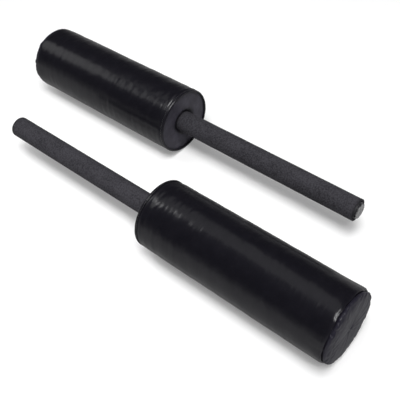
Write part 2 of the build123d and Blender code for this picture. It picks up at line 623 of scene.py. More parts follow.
@dataclass(frozen=True)
class Thread:
    """Bonded sewing thread.

    Attributes:
        name: Name of the material.
        dark: Colour between its strands.
        light: Colour on top of them.
        strand: Size of a strand.
        strand_depth: Depth of the gaps between them.
    """

    name: str = "sewing_thread"
    dark: Colour = (0.006, 0.006, 0.007)
    light: Colour = (0.030, 0.030, 0.033)
    strand: float = 0.0002
    strand_depth: float = 0.00005

    def make(self) -> bpy.types.Material:
        """Make the material.

        Returns:
            The material.
        """
        recipe = Recipe(self.name)
        strands = recipe.cloud((self.strand,) * 3, 1.0)
        return recipe.finish(
            Base_Color=recipe.blend(strands, self.dark, self.light),
            Roughness=0.5,
            Sheen_Weight=0.2,
            Normal=recipe.relief(strands, self.strand_depth),
        )


class Finish(Enum):
    """The finishes of the pair, each one material that both sticks share."""

    COVER = CoatedFabric()
    TIP = CoatedFabric(
        "tip_fabric", (0.0120, 0.0111, 0.0180), (0.0265, 0.0250, 0.0345),
        gloss_rough=0.52, dull_rough=0.62, coat=0.10, coat_rough=0.26,
    )
    # The end panel's dark colour is painted shade round the grip's hole; its light colour is the
    # face beyond it.
    END_PANEL = CoatedFabric(
        "end_panel_fabric", (0.0050, 0.0046, 0.0072), (0.072, 0.0680, 0.087),
        gloss_rough=0.50, dull_rough=0.60, coat=0.08, coat_rough=0.3,
    )
    TAPE = WovenTape()
    THREAD = Thread()
    GRIP = SoftFoam("grip_foam", (0.0130, 0.0126, 0.0150), (0.0500, 0.0483, 0.0558))
    WRAP = SoftFoam("wrap_foam", (0.20, 0.20, 0.21), (0.34, 0.34, 0.35), pore=0.0014)
    CORE = SoftFoam("core_foam", (0.60, 0.60, 0.58), (0.80, 0.80, 0.78), pore=0.0020)
    BOARD = SoftFoam("fibreboard", (0.07, 0.06, 0.05), (0.12, 0.11, 0.10), pore=0.0006)
    PLUG = MouldedPlastic(
        "plug_plastic", (0.020, 0.020, 0.023), (0.055, 0.055, 0.060), rough=0.22, sink=0.0014,
    )
    TUBE = MouldedPlastic("tube_plastic", (0.028, 0.028, 0.031), (0.060, 0.060, 0.064))
    CAP = MouldedPlastic("cap_plastic", (0.60, 0.60, 0.60), (0.70, 0.70, 0.70))

    @functools.cache
    def material(self) -> bpy.types.Material:
        """Give the material, which is made the first time."""
        return self.value.make()


def settle(made: bpy.types.Object, body: str, finish: Finish, node: str = "") -> None:
    """Give a piece its material and its place in the frame.

    Args:
        made: The piece.
        body: Body that it rides on.
        finish: Its finish.
        node: Solid that it stands for, without the body's name, if there is one.
    """
    made.data.materials.append(finish.material())
    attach(made, body)
    if node:
        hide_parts(f"{body}_{node}")
    log.info("%s: %d faces", made.name, len(made.data.polygons))


class Held(Enum):
    """Which edges of a simulated cloth are sewn down."""

    ENDS = "both ends of a sleeve"
    RIM = "the rim of a round panel"


class Blown:
    """Offsets from a simulated cloth, read smoothly between its points."""

    def __init__(self, offsets: np.ndarray, limits: tuple[float, float]) -> None:
        """Keep the offsets by row and side, none beyond its limits."""
        self.offsets = np.clip(offsets, *limits)

    def at(self, share: np.ndarray, turn: np.ndarray) -> np.ndarray:
        """Read the offsets.

        Args:
            share: Where on the way from the first row to the last, from 0 to 1.
            turn: Turns of the places, in radians.

        Returns:
            Offset at each place.
        """
        rows, sides = self.offsets.shape
        row, side = np.broadcast_arrays(
            np.clip(share, 0.0, 1.0) * (rows - 1.0), np.mod(turn / FULL_TURN, 1.0) * sides
        )
        total = np.zeros(row.shape)
        for row_step, row_share in zip(range(-1, 3), self.shares(row)):
            for side_step, side_share in zip(range(-1, 3), self.shares(side)):
                near_row = np.clip(np.floor(row).astype(int) + row_step, 0, rows - 1)
                near_side = (np.floor(side).astype(int) + side_step) % sides
                total += row_share * side_share * self.offsets[near_row, near_side]
        return total

    @staticmethod
    def shares(place: np.ndarray) -> tuple[np.ndarray, ...]:
        """Weigh the four points round a place so that no kink is left between them.

        Args:
            place: Places, counted in points.

        Returns:
            Weights of the points before, at, after and beyond each place.
        """
        past = place - np.floor(place)
        return (
            (1.0 - past) ** 3 / 6.0,
            (3.0 * past**3 - 6.0 * past**2 + 4.0) / 6.0,
            (-3.0 * past**3 + 3.0 * past**2 + 3.0 * past + 1.0) / 6.0,
            past**3 / 6.0,
        )


@dataclass(frozen=True)
class Stuffed:
    """Cloth that its stuffing presses out between its seams, found by simulation.

    Attributes:
        held: Which edges are sewn down.
        seed: Number that picks its first unevenness.
        spare: Share by which the cloth is larger than its place.
        pressure: Pressure of the stuffing.
        rows: Points from one edge to the other, or to the middle.
        limits: Least and greatest offset that is let through.
        uneven: Height of its first unevenness.
        hole: Reach of the small hole that a round panel keeps in its middle.
        stiffness: Stiffness of the cloth against bending.
        drag: How much the air slows it down.
        sides: Points round the axis.
        steps: Steps of the simulation.
    """

    held: Held
    seed: int
    spare: float
    pressure: float
    rows: int
    limits: tuple[float, float]
    uneven: float = 0.0002
    hole: float = 0.002
    stiffness: float = 1.0
    drag: float = 5.0
    sides: int = 120
    steps: int = 18

    def blow(self, reach: float, length: float = 0.0) -> Blown:
        """Run the simulation.

        Args:
            reach: Reach of the sleeve or of the panel's rim.
            length: Length of the sleeve.

        Returns:
            How far each point comes to stand proud.
        """
        size = (self.rows, self.sides)
        turn = circle(self.sides)
        uneven = np.random.default_rng(self.seed).uniform(-self.uneven, self.uneven, size)
        uneven[0] = 0.0
        sewn = list(range(self.sides))
        if self.held is Held.ENDS:
            uneven[-1] = 0.0
            way, radius = spread(np.linspace(0.0, length, self.rows), turn), reach + uneven
            sewn += range((self.rows - 1) * self.sides, self.rows * self.sides)
        else:
            way, radius = uneven, spread(np.linspace(reach, self.hole, self.rows), turn)
        points = np.stack((way, radius * np.cos(turn), radius * np.sin(turn)), axis=-1)
        cloth = mesh_object("trial_cloth", points, quads(*size, closed=False))
        cloth.vertex_groups.new(name="sewn").add(sewn, 1.0, "REPLACE")
        shaped = self.drape(cloth).reshape(*size, 3)
        bpy.data.meshes.remove(cloth.data)
        if self.held is Held.ENDS:
            return Blown(np.hypot(shaped[..., 1], shaped[..., 2]) - reach, self.limits)
        return Blown(shaped[..., 0], self.limits)

    def drape(self, cloth: bpy.types.Object) -> np.ndarray:
        """Step a cloth through time until its stuffing has shaped it.

        Args:
            cloth: The cloth, with its sewn points in the group named sewn.

        Returns:
            The coordinates of its points, one after another.
        """
        scene = bpy.context.scene
        modifier = cloth.modifiers.new("stuffed", "CLOTH")
        settings = modifier.settings
        settings.vertex_group_mass = "sewn"
        settings.use_pressure = True
        settings.uniform_pressure_force = self.pressure
        settings.effector_weights.gravity = 0.0
        settings.shrink_min = settings.shrink_max = -self.spare
        settings.bending_stiffness = self.stiffness
        settings.air_damping = self.drag
        modifier.collision_settings.use_collision = False
        modifier.point_cache.frame_start, modifier.point_cache.frame_end = 1, self.steps
        for step in range(1, self.steps + 1):
            scene.frame_set(step)
        shaped = cloth.evaluated_get(bpy.context.evaluated_depsgraph_get()).to_mesh()
        flat = np.empty(3 * len(shaped.vertices))
        shaped.vertices.foreach_get("co", flat)
        cloth.modifiers.clear()
        scene.frame_set(1)
        return flat


class Layer(Enum):
    """Layers of random drift in a cover, each with its own number."""

    SWELLS = 0
    PUCKERS = 1
    FINE_PUCKERS = 2
    PATCHES = 3
    FOLDS = 4
    FOLD_DEPTHS = 5
    TIP_SWELLS = 6
    TIP_PUCKERS = 7
    END_SWELLS = 8
    END_PULLS = 9
    BINDING = 10
    SEAM_WAVE = 11
    GATHERS = 12
    PUFF = 13
    LIP = 14
    GRIP = 15


def seed_of(stick_seed: int, layer: Layer) -> int:
    """Give the seed of a layer of a stick's drift."""
    return stick_seed * len(Layer) + layer.value


@dataclass(frozen=True)
class Slack:
    """How a sewn cover fails to lie flat.

    Attributes:
        seed: Number that picks this cover's unevenness.
        swell: Height of the broad swells.
        swell_length: Size of a swell.
        pucker: Height of the cross puckers all along the pad.
        rim_pucker: Height that they gain at the rim on the grip's side.
        rim_fade: Distance over which that gain dies away.
        pucker_length: Size of a pucker along the pad.
        pucker_breadth: Size of a pucker round the pad.
        patch: Size of the patches of deeper puckers, along the pad and round it.
        crease: Depth of the creases that run out of the tip seam.
        crease_fade: Distance over which they die away.
        crease_pitch: Distance round the seam from crease to crease.
        crease_patch: Size of the stretches of deeper creases.
        wave: How far the tip seam wanders along the pad.
        wave_pitch: Distance round the seam from wave to wave.
        gather: How far the seam's thread draws the cover in between its gathers.
        gather_pitch: Distance round the seam from gather to gather.
        gather_fade: Distance over which the gathers die away.
        blown_share: How much of the simulated offsets the sleeve takes.
    """

    seed: int
    swell: float = 0.00035
    swell_length: float = 0.070
    pucker: float = 0.00007
    rim_pucker: float = 0.00018
    rim_fade: float = 0.040
    pucker_length: float = 0.0052
    pucker_breadth: float = 0.026
    patch: tuple[float, float] = (0.05, 0.04)
    crease: float = 0.0008
    crease_fade: float = 0.009
    crease_pitch: float = 0.009
    crease_patch: float = 0.03
    wave: float = 0.0011
    wave_pitch: float = 0.010
    gather: float = 0.0013
    gather_pitch: float = 0.026
    gather_fade: float = 0.012
    blown_share: float = 0.25

    def drift(self, layer: Layer, where: Places, along: float, across: float) -> np.ndarray:
        """Read one layer of drift on the pad's skin, by its size along and across the axis."""
        return Drift(seed_of(self.seed, layer)).on_skin(where, along, across)

    def round_drift(self, layer: Layer, reach: np.ndarray, turn: np.ndarray,
                    across: float) -> np.ndarray:
        """Read a layer that is the same all along the axis."""
        return self.drift(layer, (0.0, reach, turn), 1.0, across)

    def dents(self, where: Places) -> np.ndarray:
        """Work out the swells and puckers of the sleeve.

        Args:
            where: Stations, reaches and turns of the places.

        Returns:
            How far each place stands proud, below zero for a dent.
        """
        long, broad = self.pucker_length, self.pucker_breadth
        swells = self.drift(Layer.SWELLS, where, self.swell_length, self.swell_length)
        puckers = self.drift(Layer.PUCKERS, where, long, broad)
        finer = self.drift(Layer.FINE_PUCKERS, where, 0.6 * long, 0.5 * broad)
        patchy = 0.6 + 0.6 * self.drift(Layer.PATCHES, where, *self.patch)
        height = (self.pucker + self.rim_pucker * np.exp(-where[0] / self.rim_fade)) * patchy
        return self.swell * (swells - 0.6) + height * (puckers + 0.5 * finer - 0.4)

    def seam_wave(self, turn: np.ndarray, reach: float) -> np.ndarray:
        """Work out how far the tip seam wanders towards the tip, by turn and its reach."""
        return self.wave * self.round_drift(Layer.SEAM_WAVE, reach, turn, self.wave_pitch)

    def gathers(self, gap: np.ndarray, reach: np.ndarray, turn: np.ndarray) -> np.ndarray:
        """Work out how far the seam's thread draws the cover in, in broad flats.

        Args:
            gap: Distance of the places from the seam.
            reach: Their reaches.
            turn: Their turns, in radians.

        Returns:
            How far each place is drawn in, as a number below zero.
        """
        flats = self.round_drift(Layer.GATHERS, reach, turn, self.gather_pitch)
        return self.gather * (np.abs(flats) * 1.6 - 1.0) * np.exp(-gap / self.gather_fade)

    def creases(self, gap: np.ndarray, reach: np.ndarray, turn: np.ndarray) -> np.ndarray:
        """Work out the creases that run out of the tip seam.

        Args:
            gap: Distance of the places from the seam.
            reach: Their reaches.
            turn: Their turns, in radians.

        Returns:
            How far each place is drawn in, as a number below zero.
        """
        pitch = self.crease_pitch
        fold = self.drift(Layer.FOLDS, (gap * 0.35, reach, turn), pitch, pitch)
        deep = 0.7 + 0.7 * self.round_drift(Layer.FOLD_DEPTHS, reach, turn, self.crease_patch)
        deep = np.clip(deep, 0.0, 1.5)
        fade = np.exp(-gap / (self.crease_fade * (0.6 + 0.8 * deep)))
        return -self.crease * deep * fade * np.clip(1.0 - np.abs(fold) / 0.35, 0.0, 1.0)


@dataclass
class PadForm:
    """Outer form of a sewn pad, which its pieces follow.

    Attributes:
        lie: How the stick lies.
        slack: How the cover fails to lie flat.
        rim_taper: Length over which the pad narrows towards the rim.
        rim_fall: Drop of the reach at the rim.
        tip_taper: Length over which it rolls down to the tip seam.
        tip_fall: Drop of the reach at the tip seam.
        free_start: How the slack sets in, by distance past the binding.
        free_end: How it dies away, by distance from the tip seam.
        lap_turn: Turn at which the sleeve's own edges lap.
        lap_rise: How far the upper edge of that lap stands proud.
        lap_edge: Sharp folded edge there, by distance past the lap's turn.
        lap_fade: Its slow fall on the other side.
        drawn_length: How far from the tip seam its gathers and creases are felt.
        fullness: How far the sleeve stays full where it meets the tip seam.
        full_start: Where that sets in, by distance from the seam.
        lip: How far the sleeve slopes in right at the tip seam.
        lip_place: Where that slope lies, by distance from the seam.
        lip_pitch: Distance round the seam over which the slope's depth changes.
        hem_row: Groove along the hem's stitches, by distance from the seam.
        puff: Swell of the sleeve beside the binding.
        puff_pitch: Distance round the rim over which that swell changes.
        tuck: Groove where the sleeve goes under the binding.
        tip_seed: How much higher the seed of the tip panel's cloth is than the sleeve's.
    """

    lie: Lie
    slack: Slack
    rim_taper: float = 0.030
    rim_fall: float = 0.0015
    tip_taper: float = 0.0032
    tip_fall: float = 0.002
    free_start: Ramp = Ramp(0.0, 0.004)
    free_end: Ramp = Ramp(0.006, 0.020)
    lap_turn: float = math.radians(300.0)
    lap_rise: float = 0.00045
    lap_edge: Ramp = Ramp(-0.0003, 0.0006)
    lap_fade: Ramp = Ramp(0.016, -0.006)
    drawn_length: float = 0.06
    fullness: float = 0.0002
    full_start: Ramp = Ramp(0.025, -0.02)
    lip: float = 0.0006
    lip_place: Ramp = Ramp(0.0035, -0.0035)
    lip_pitch: float = 0.016
    hem_row: Ridge = Ridge(-0.00035, 0.0035, 0.0006)
    puff: Ridge = Ridge(0.0008, 0.0042, 0.0034)
    puff_pitch: float = 0.02
    tuck: Ridge = Ridge(-0.0006, 0.0003, 0.0012)
    tip_seed: int = 8

    def __post_init__(self) -> None:
        """Read where the pad starts and ends, and let its stuffing press the cover out."""
        self.sleeve = self.lie.span("cover_sleeve")
        self.bound = self.lie.span("edge_binding").end
        self.seam = self.sleeve.end
        self.seam_reach = float(self.outline(self.seam)) - 2.0 * CLOTH - FIT
        seed = self.slack.seed
        sleeve = Stuffed(
            Held.ENDS, seed, spare=0.009, pressure=5.0, rows=84, limits=(-0.0005, 0.0008)
        )
        self.blown_sleeve = sleeve.blow(self.sleeve.reach, self.seam - self.bound)
        tip = Stuffed(
            Held.RIM, seed + self.tip_seed, spare=0.012, pressure=4.0, rows=22,
            limits=(-0.0005, 0.0035),
        )
        self.blown_tip = tip.blow(self.seam_reach)

    def outline(self, station: np.ndarray | float) -> np.ndarray | float:
        """Give the pad's reach at some stations.

        Args:
            station: Stations of the places.

        Returns:
            Reach of the plain pad there.
        """
        fall = 0.0
        for way, length, drop in (
            (self.rim_taper - station, self.rim_taper, self.rim_fall),
            (station - self.sleeve.end + self.tip_taper, self.tip_taper, self.tip_fall),
        ):
            bend = (length**2 + drop**2) / (2.0 * drop)
            fall = fall + bend - np.sqrt(bend**2 - np.clip(way, 0.0, length) ** 2)
        return self.sleeve.reach - fall

    def lap(self, turn: np.ndarray) -> np.ndarray:
        """Give the rise of the lap: a sharp folded edge, then a slow fall."""
        past = (turn - self.lap_turn) * self.sleeve.reach
        return self.lap_rise * self.lap_edge.at(past) * self.lap_fade.at(past)

    def at_seam(self, gap: np.ndarray, plain: np.ndarray, turn: np.ndarray) -> np.ndarray:
        """Work out what the tip seam does to the sleeve.

        Args:
            gap: Distance of the places from the seam.
            plain: Reach of the plain pad there.
            turn: Their turns, in radians.

        Returns:
            How far each place stands proud, below zero where it is drawn in.
        """
        slack = self.slack
        drawn = 0.35 * slack.creases(gap, plain, turn) + slack.gathers(gap, plain, turn)
        uneven = slack.round_drift(Layer.LIP, plain, turn, self.lip_pitch)
        full = self.fullness * self.full_start.at(gap)
        lip = self.lip * (1.0 + 0.7 * uneven) * self.lip_place.at(gap)
        row = self.hem_row.at(gap) * (0.5 + uneven)
        return np.where(gap < self.drawn_length, drawn, 0.0) + full + row - lip

    def skin(self, station: np.ndarray | float, turn: np.ndarray) -> np.ndarray:
        """Give the reach of the sleeve's outer face.

        Args:
            station: Stations of the places.
            turn: Their turns, in radians.

        Returns:
            Reach, with the sleeve's slack in it.
        """
        plain, past = self.outline(station), station - self.bound
        free = self.free_start.at(past) * self.free_end.at(self.seam - station)
        dents = self.slack.dents((station, plain, turn)) * (0.25 + 0.75 * free)
        blown = self.blown_sleeve.at(past / (self.seam - self.bound), turn)
        loose = self.slack.blown_share * blown + self.lap(turn)
        puff = 0.8 + 0.4 * self.slack.round_drift(Layer.PUFF, plain, turn, self.puff_pitch)
        beside = self.puff.at(past) * puff + self.tuck.at(past)
        gap = np.maximum(self.seam - station, 0.0)
        return plain + dents + loose * free + beside + self.at_seam(gap, plain, turn)


def mark(made: bpy.types.Object, wear_and_shade: np.ndarray) -> None:
    """Store at each of a piece's vertices how worn it is, and on the shoulder panel how far it lies
    out of the painted shade round the grip's hole.

    Args:
        made: The piece.
        wear_and_shade: Shares by course and turn.
    """
    shares = np.zeros(len(made.data.vertices), np.float32)
    shares[: wear_and_shade.size] = wear_and_shade.ravel()
    made.data.attributes.new("wear_and_shade", "FLOAT", "POINT").data.foreach_set("value", shares)


@dataclass
class Sleeve:
    """Main cover of the pad, with its puckers, its lap and its hem.

    Attributes:
        form: Form of the pad.
        hem: Length of the edge turned in at the tip.
        hem_roll: Radius of the rolled edge at the tip seam.
        fold: How far the turned-in edge keeps from the roll and from its own end.
        fine_end: Station up to which the courses lie closer.
        fine_step: Distance between courses there.
        step: Distance between courses from there on.
        end_room: How far the last of them stays before the roll.
        back_step: Distance between courses on the inner face.
        back_room: How far the first of them stays behind the hem.
        back_slack: Where the inner face is slack, by distance from the seam.
        wave_start: Where the seam's waves set in, by distance past it.
        lap_step: Distance between the points at the lap.
        sides: Points round the sleeve, besides those at the lap.
        rim_rub: Rubbed stretch at the binding.
        seam_rub: Rubbed stretch at the tip seam.
    """

    form: PadForm
    hem: float = 0.008
    hem_roll: float = 0.0011
    fold: float = 0.0002
    fine_end: float = 0.070
    fine_step: float = 0.0011
    step: float = 0.0016
    end_room: float = 0.0008
    back_step: float = 0.008
    back_room: float = 0.010
    back_slack: Ramp = Ramp(0.040, 0.02)
    wave_start: Ramp = Ramp(-0.02, 0.018)
    lap_step: float = 0.0003
    sides: int = 240
    rim_rub: Ridge = Ridge(0.5, 0.0, 0.004)
    seam_rub: Ridge = Ridge(0.6, 0.0, 0.0025)

    def turns(self) -> np.ndarray:
        """Give the turns of the points round the sleeve.

        Returns:
            Turns as one row, closer together at the lap.
        """
        step = self.lap_step / self.form.sleeve.reach
        edge = self.form.lap_turn + step * np.array([-4.0, -2.0, -1.0, 0.0, 1.0, 2.0, 4.0])
        return np.unique(np.concatenate((circle(self.sides)[0], edge)).round(7))[None, :]

    def outside(self, turn: np.ndarray) -> tuple[np.ndarray, np.ndarray]:
        """Give the outer face and the rolled edge.

        Args:
            turn: Turns of the points.

        Returns:
            Stations and reaches, by course and turn.
        """
        form, roll = self.form, self.hem_roll
        bent = form.seam - roll
        plain = np.concatenate((
            np.arange(form.sleeve.start, self.fine_end, self.fine_step),
            np.arange(self.fine_end, bent - self.end_room, self.step),
        ))[:, None]
        bends = np.radians(np.linspace(0.0, 90.0, 7))[:, None]
        wave = form.slack.seam_wave(turn, form.sleeve.reach)
        waved = plain + wave * self.wave_start.at(plain - form.seam)
        rolled = form.skin(bent, turn) - roll * (1.0 - np.cos(bends))
        station = np.concatenate((waved, bent + roll * np.sin(bends) + wave))
        return station, np.concatenate((form.skin(plain, turn), rolled))

    def inside(self, turn: np.ndarray) -> tuple[np.ndarray, np.ndarray]:
        """Give the turned-in hem and the inner face.

        Args:
            turn: Turns of the points.

        Returns:
            Stations and reaches, by course and turn.
        """
        form, start = self.form, self.form.sleeve.start
        cut = form.seam - self.hem
        hem = [form.seam - self.fold, cut + self.fold, cut]
        hem_reach = [form.seam_reach + FIT, form.seam_reach + FIT, form.outline(cut) - CLOTH]
        back = np.arange(cut - self.back_room, start, -self.back_step)[:, None]
        plain = form.outline(back) - CLOTH
        loose = self.back_slack.at(form.seam - back)
        slack = np.minimum(form.skin(back, turn) - CLOTH, plain) - plain
        station = spread([*hem, *back[:, 0], start], turn)
        last = spread([form.outline(start) - CLOTH], turn)
        return station, np.concatenate((spread(hem_reach, turn), plain + slack * loose, last))

    def dress(self) -> None:
        """Make the sleeve."""
        form, turn = self.form, self.turns()
        faces = (self.outside(turn), self.inside(turn))
        station, reach = (np.concatenate(parts) for parts in zip(*faces))
        courses = on_floor(form.lie.place(station, reach, turn))
        made = turned_object(f"{form.lie.body}_pad_sleeve", courses)
        mark(made, self.rim_rub.at(station - form.bound) + self.seam_rub.at(station - form.seam))
        settle(made, form.lie.body, Finish.COVER, "cover_sleeve")


@dataclass
class TipPanel:
    """Round panel at the tip: turned-back edge, gathered roll and crowned face.

    Attributes:
        form: Form of the pad.
        crown: How far its middle swells.
        roll_width: How far in from the seam the rolled rim reaches.
        roll_rise: How far it stands out over the seam.
        groove: Distance from the seam to the start of the roll.
        gathering: Where its gathers set in, by distance along it.
        turned: How far before the roll the turned-back edge starts.
        hole: Reach of the last course round the middle.
        inset: How far in the inner face turns off at the rim.
        face_start: Where the flat face starts, by distance in from the seam.
        still: Least reach at which gathers and creases are read, so that they don't crowd.
        fold_start: Where the face's creases set in, by reach.
        blown_share: How much of the simulated offsets the face takes.
        blown_start: Where the simulated offsets become uneven, by reach.
        swell: Height of the face's swells.
        swell_size: Size of a swell.
        pucker: Height of its puckers.
        pucker_size: Size of a pucker.
        fold_gain: How much deeper the sleeve's creases get on the panel.
        fold_shift: How far round they are from the sleeve's, in radians.
        rub: Rubbed stretch on the roll, by distance from the seam.
        sides: Points round the panel.
    """

    form: PadForm
    crown: float = 0.0008
    roll_width: float = 0.0032
    roll_rise: float = 0.0022
    groove: float = 0.0005
    gathering: Ramp = Ramp(0.0, 0.0015)
    turned: float = 0.0006
    hole: float = 0.002
    inset: float = 0.0004
    face_start: Ramp = Ramp(0.0, 0.006)
    still: float = 0.02
    fold_start: Ramp = Ramp(0.020, 0.022)
    blown_share: float = 0.35
    blown_start: Ramp = Ramp(0.004, 0.034)
    swell: float = 0.00035
    swell_size: float = 0.016
    pucker: float = 0.00012
    pucker_size: float = 0.006
    fold_gain: float = 2.6
    fold_shift: float = 0.3
    rub: Ridge = Ridge(0.3, 0.004, 0.002)
    sides: int = 240

    def __post_init__(self) -> None:
        """Read where the panel lies."""
        self.span = self.form.lie.span("tip_panel")
        self.low = self.form.seam_reach
        self.rolled = self.form.seam + self.groove

    def plain(self, turn: np.ndarray) -> tuple[np.ndarray, np.ndarray]:
        """Give the outer face before it is gathered.

        Args:
            turn: Turns of the points.

        Returns:
            Stations and reaches, by course and turn.
        """
        low, face, rolled = self.low, self.span.end, self.rolled
        flat = low - self.roll_width
        ways = np.linspace(0.0, 1.0, 15)
        roll_station = rolled + (face - rolled) * np.sin(ways * math.pi / 2.0) ** 1.1
        rise = self.roll_rise * np.sin(ways * math.pi) ** 0.9
        flat_reach = np.linspace(flat, self.hole, 40)[1:]
        flat_station = face + self.crown * (1.0 - (flat_reach / flat) ** 2)
        station = [self.span.start, rolled - self.turned, *roll_station, *flat_station]
        reach = [low, low, *(low + rise - self.roll_width * ways**2.5), *flat_reach]
        return spread(station, turn), spread(reach, turn)

    def gathered(self, station: np.ndarray, reach: np.ndarray,
                 turn: np.ndarray) -> tuple[np.ndarray, np.ndarray]:
        """Gather the outer face at its seam and let the stuffing swell it.

        Args:
            station: Stations of the plain face.
            reach: Reaches of the plain face.
            turn: Turns of the points.

        Returns:
            Stations and reaches, by course and turn.
        """
        form, slack, low = self.form, self.form.slack, self.low
        gap = np.maximum(low - reach, 0.0) + np.maximum(station - form.seam, 0.0) * 0.3
        past = self.gathering.at(station - self.rolled)
        faced = self.face_start.at(low - reach)
        around = np.maximum(reach, self.still)
        folds = self.fold_gain * slack.creases(gap * 0.9, around, turn + self.fold_shift)
        folds = folds * past * self.fold_start.at(reach)
        drawn = slack.gathers(gap * 0.6, around, turn) * past
        swells = self.swell * slack.round_drift(Layer.TIP_SWELLS, reach, turn, self.swell_size)
        finer = self.pucker * slack.round_drift(Layer.TIP_PUCKERS, reach, turn, self.pucker_size)
        blown = self.blown_share * form.blown_tip.at(1.0 - reach / low, turn)
        even = blown.mean(axis=1, keepdims=True)
        uneven = (blown - even) * self.blown_start.at(reach)
        wave = slack.seam_wave(turn, form.sleeve.reach) * past * (1.0 - 0.6 * faced)
        station = station + wave + faced * (even + uneven + swells + finer) + folds * 0.8
        return station, reach + (folds * 0.9 + drawn) * (1.0 - faced)

    def dress(self) -> None:
        """Make the panel, whose section crosses the axis from its outer to its inner face."""
        turn, low, back = circle(self.sides), self.low, self.span.end - CLOTH
        inner = [
            (back, self.hole), (back, low - self.roll_width - self.inset),
            (self.form.seam, low - CLOTH), (self.span.start, low - CLOTH),
        ]
        faces = (self.gathered(*self.plain(turn), turn), swept(inner, turn))
        station, reach = (np.concatenate(parts) for parts in zip(*faces))
        points = self.form.lie.place(station, reach, turn)
        count, body = len(points), self.form.lie.body
        crossing = count - len(inner)
        outer_ring = np.arange(self.sides) + (crossing - 1) * self.sides
        corners = quads(count, self.sides)
        del corners[outer_ring[0] : outer_ring[0] + self.sides]
        pole = count * self.sides
        for here in range(self.sides):
            near, beside = int(outer_ring[here]), int(outer_ring[here - self.sides + 1])
            corners.append((near, beside, pole))
            corners.append((beside + self.sides, near + self.sides, pole + 1))
        poles = points[crossing - 1 : crossing + 1].mean(axis=1)
        vertices = np.concatenate((points.reshape(-1, 3), poles))
        made = mesh_object(f"{body}_pad_tip", vertices, corners)
        mark(made, self.rub.at(station - self.form.seam))
        settle(made, body, Finish.TIP, "tip_panel")


@dataclass
class ShoulderPanel:
    """Flat panel round the grip, with its edge turned out at the rim.

    Attributes:
        form: Form of the pad.
        bulge: How far it swells between the grip and the rim.
        squeeze: How much smaller its hole is than the grip.
        corner: Radius of the bend where its edge turns out.
        hem: How far from the hole its flat face starts.
        hem_roll: Radius by which the hole's edge is rounded.
        hole_edge: Length of the plain edge of the hole.
        hole_fade: How the swell sets in at the hole, by distance from it.
        rim_fade: How it dies away at the rim, by distance from it.
        back_room: How far from its back the swell ends.
        share_start: How far from the hole the swell's curve starts.
        swell_size: Size of its uneven swells.
        pull: Height of the small pulls in it.
        pull_size: Size of a pull.
        hole_shade_fade: Where the painted shade round the hole gives way to the panel's lighter
            colour, by distance from the hole.
        sides: Points round the panel.
    """

    form: PadForm
    bulge: float = 0.0025
    squeeze: float = 0.0003
    corner: float = 0.0012
    hem: float = 0.0012
    hem_roll: float = 0.0003
    hole_edge: float = 0.0002
    hole_fade: Ramp = Ramp(0.0, 0.006)
    rim_fade: Ramp = Ramp(0.0, 0.004)
    back_room: float = 0.0004
    share_start: float = 0.0008
    swell_size: float = 0.020
    pull: float = 0.0001
    pull_size: float = 0.007
    hole_shade_fade: Ramp = Ramp(0.002, 0.009)
    sides: int = 240

    def dress(self) -> None:
        """Make the panel."""
        lie, slack, turn = self.form.lie, self.form.slack, circle(self.sides)
        span = lie.span("shoulder_panel")
        face, inside = span.end - CLOTH, span.reach - CLOTH
        hole = lie.span("grip_sleeve").reach - self.squeeze
        bend = inside - self.corner
        section = [(span.end, hole), (span.end, span.reach)]
        section += [(span.start, span.reach), (span.start, inside)]
        section += arc((face - self.corner, bend), self.corner, 90.0, 0.0, 6)
        section += [(face, reach) for reach in np.linspace(bend, hole + self.hem, 30)[1:]]
        section += [(face + self.hem_roll, hole + self.hem_roll)]
        section += [(span.end - self.hole_edge, hole)]
        station, reach = swept(section, turn)
        swells = slack.round_drift(Layer.END_SWELLS, reach, turn, self.swell_size)
        pulls = slack.round_drift(Layer.END_PULLS, reach, turn, self.pull_size)
        middle = self.hole_fade.at(reach - hole) * self.rim_fade.at(inside - reach)
        fronting = np.where(station < span.end - self.back_room, middle, 0.0)
        share = np.clip((reach - hole - self.share_start) / (inside - hole), 0.0, 1.0)
        bulge = self.bulge * np.sin(math.pi * share**0.42) * (1.0 + 0.4 * swells)
        courses = lie.place(station - fronting * (bulge + self.pull * pulls), reach, turn)
        made = turned_object(f"{lie.body}_pad_shoulder", courses[::-1])
        # Painted shade: the panel keeps its dark colour in a ring round the grip's hole and turns
        # lighter from 2 to 11 mm out.
        wear_and_shade = 0.5 * self.hole_shade_fade.at(reach - hole)
        mark(made, wear_and_shade[::-1])
        settle(made, lie.body, Finish.END_PANEL, "shoulder_panel")


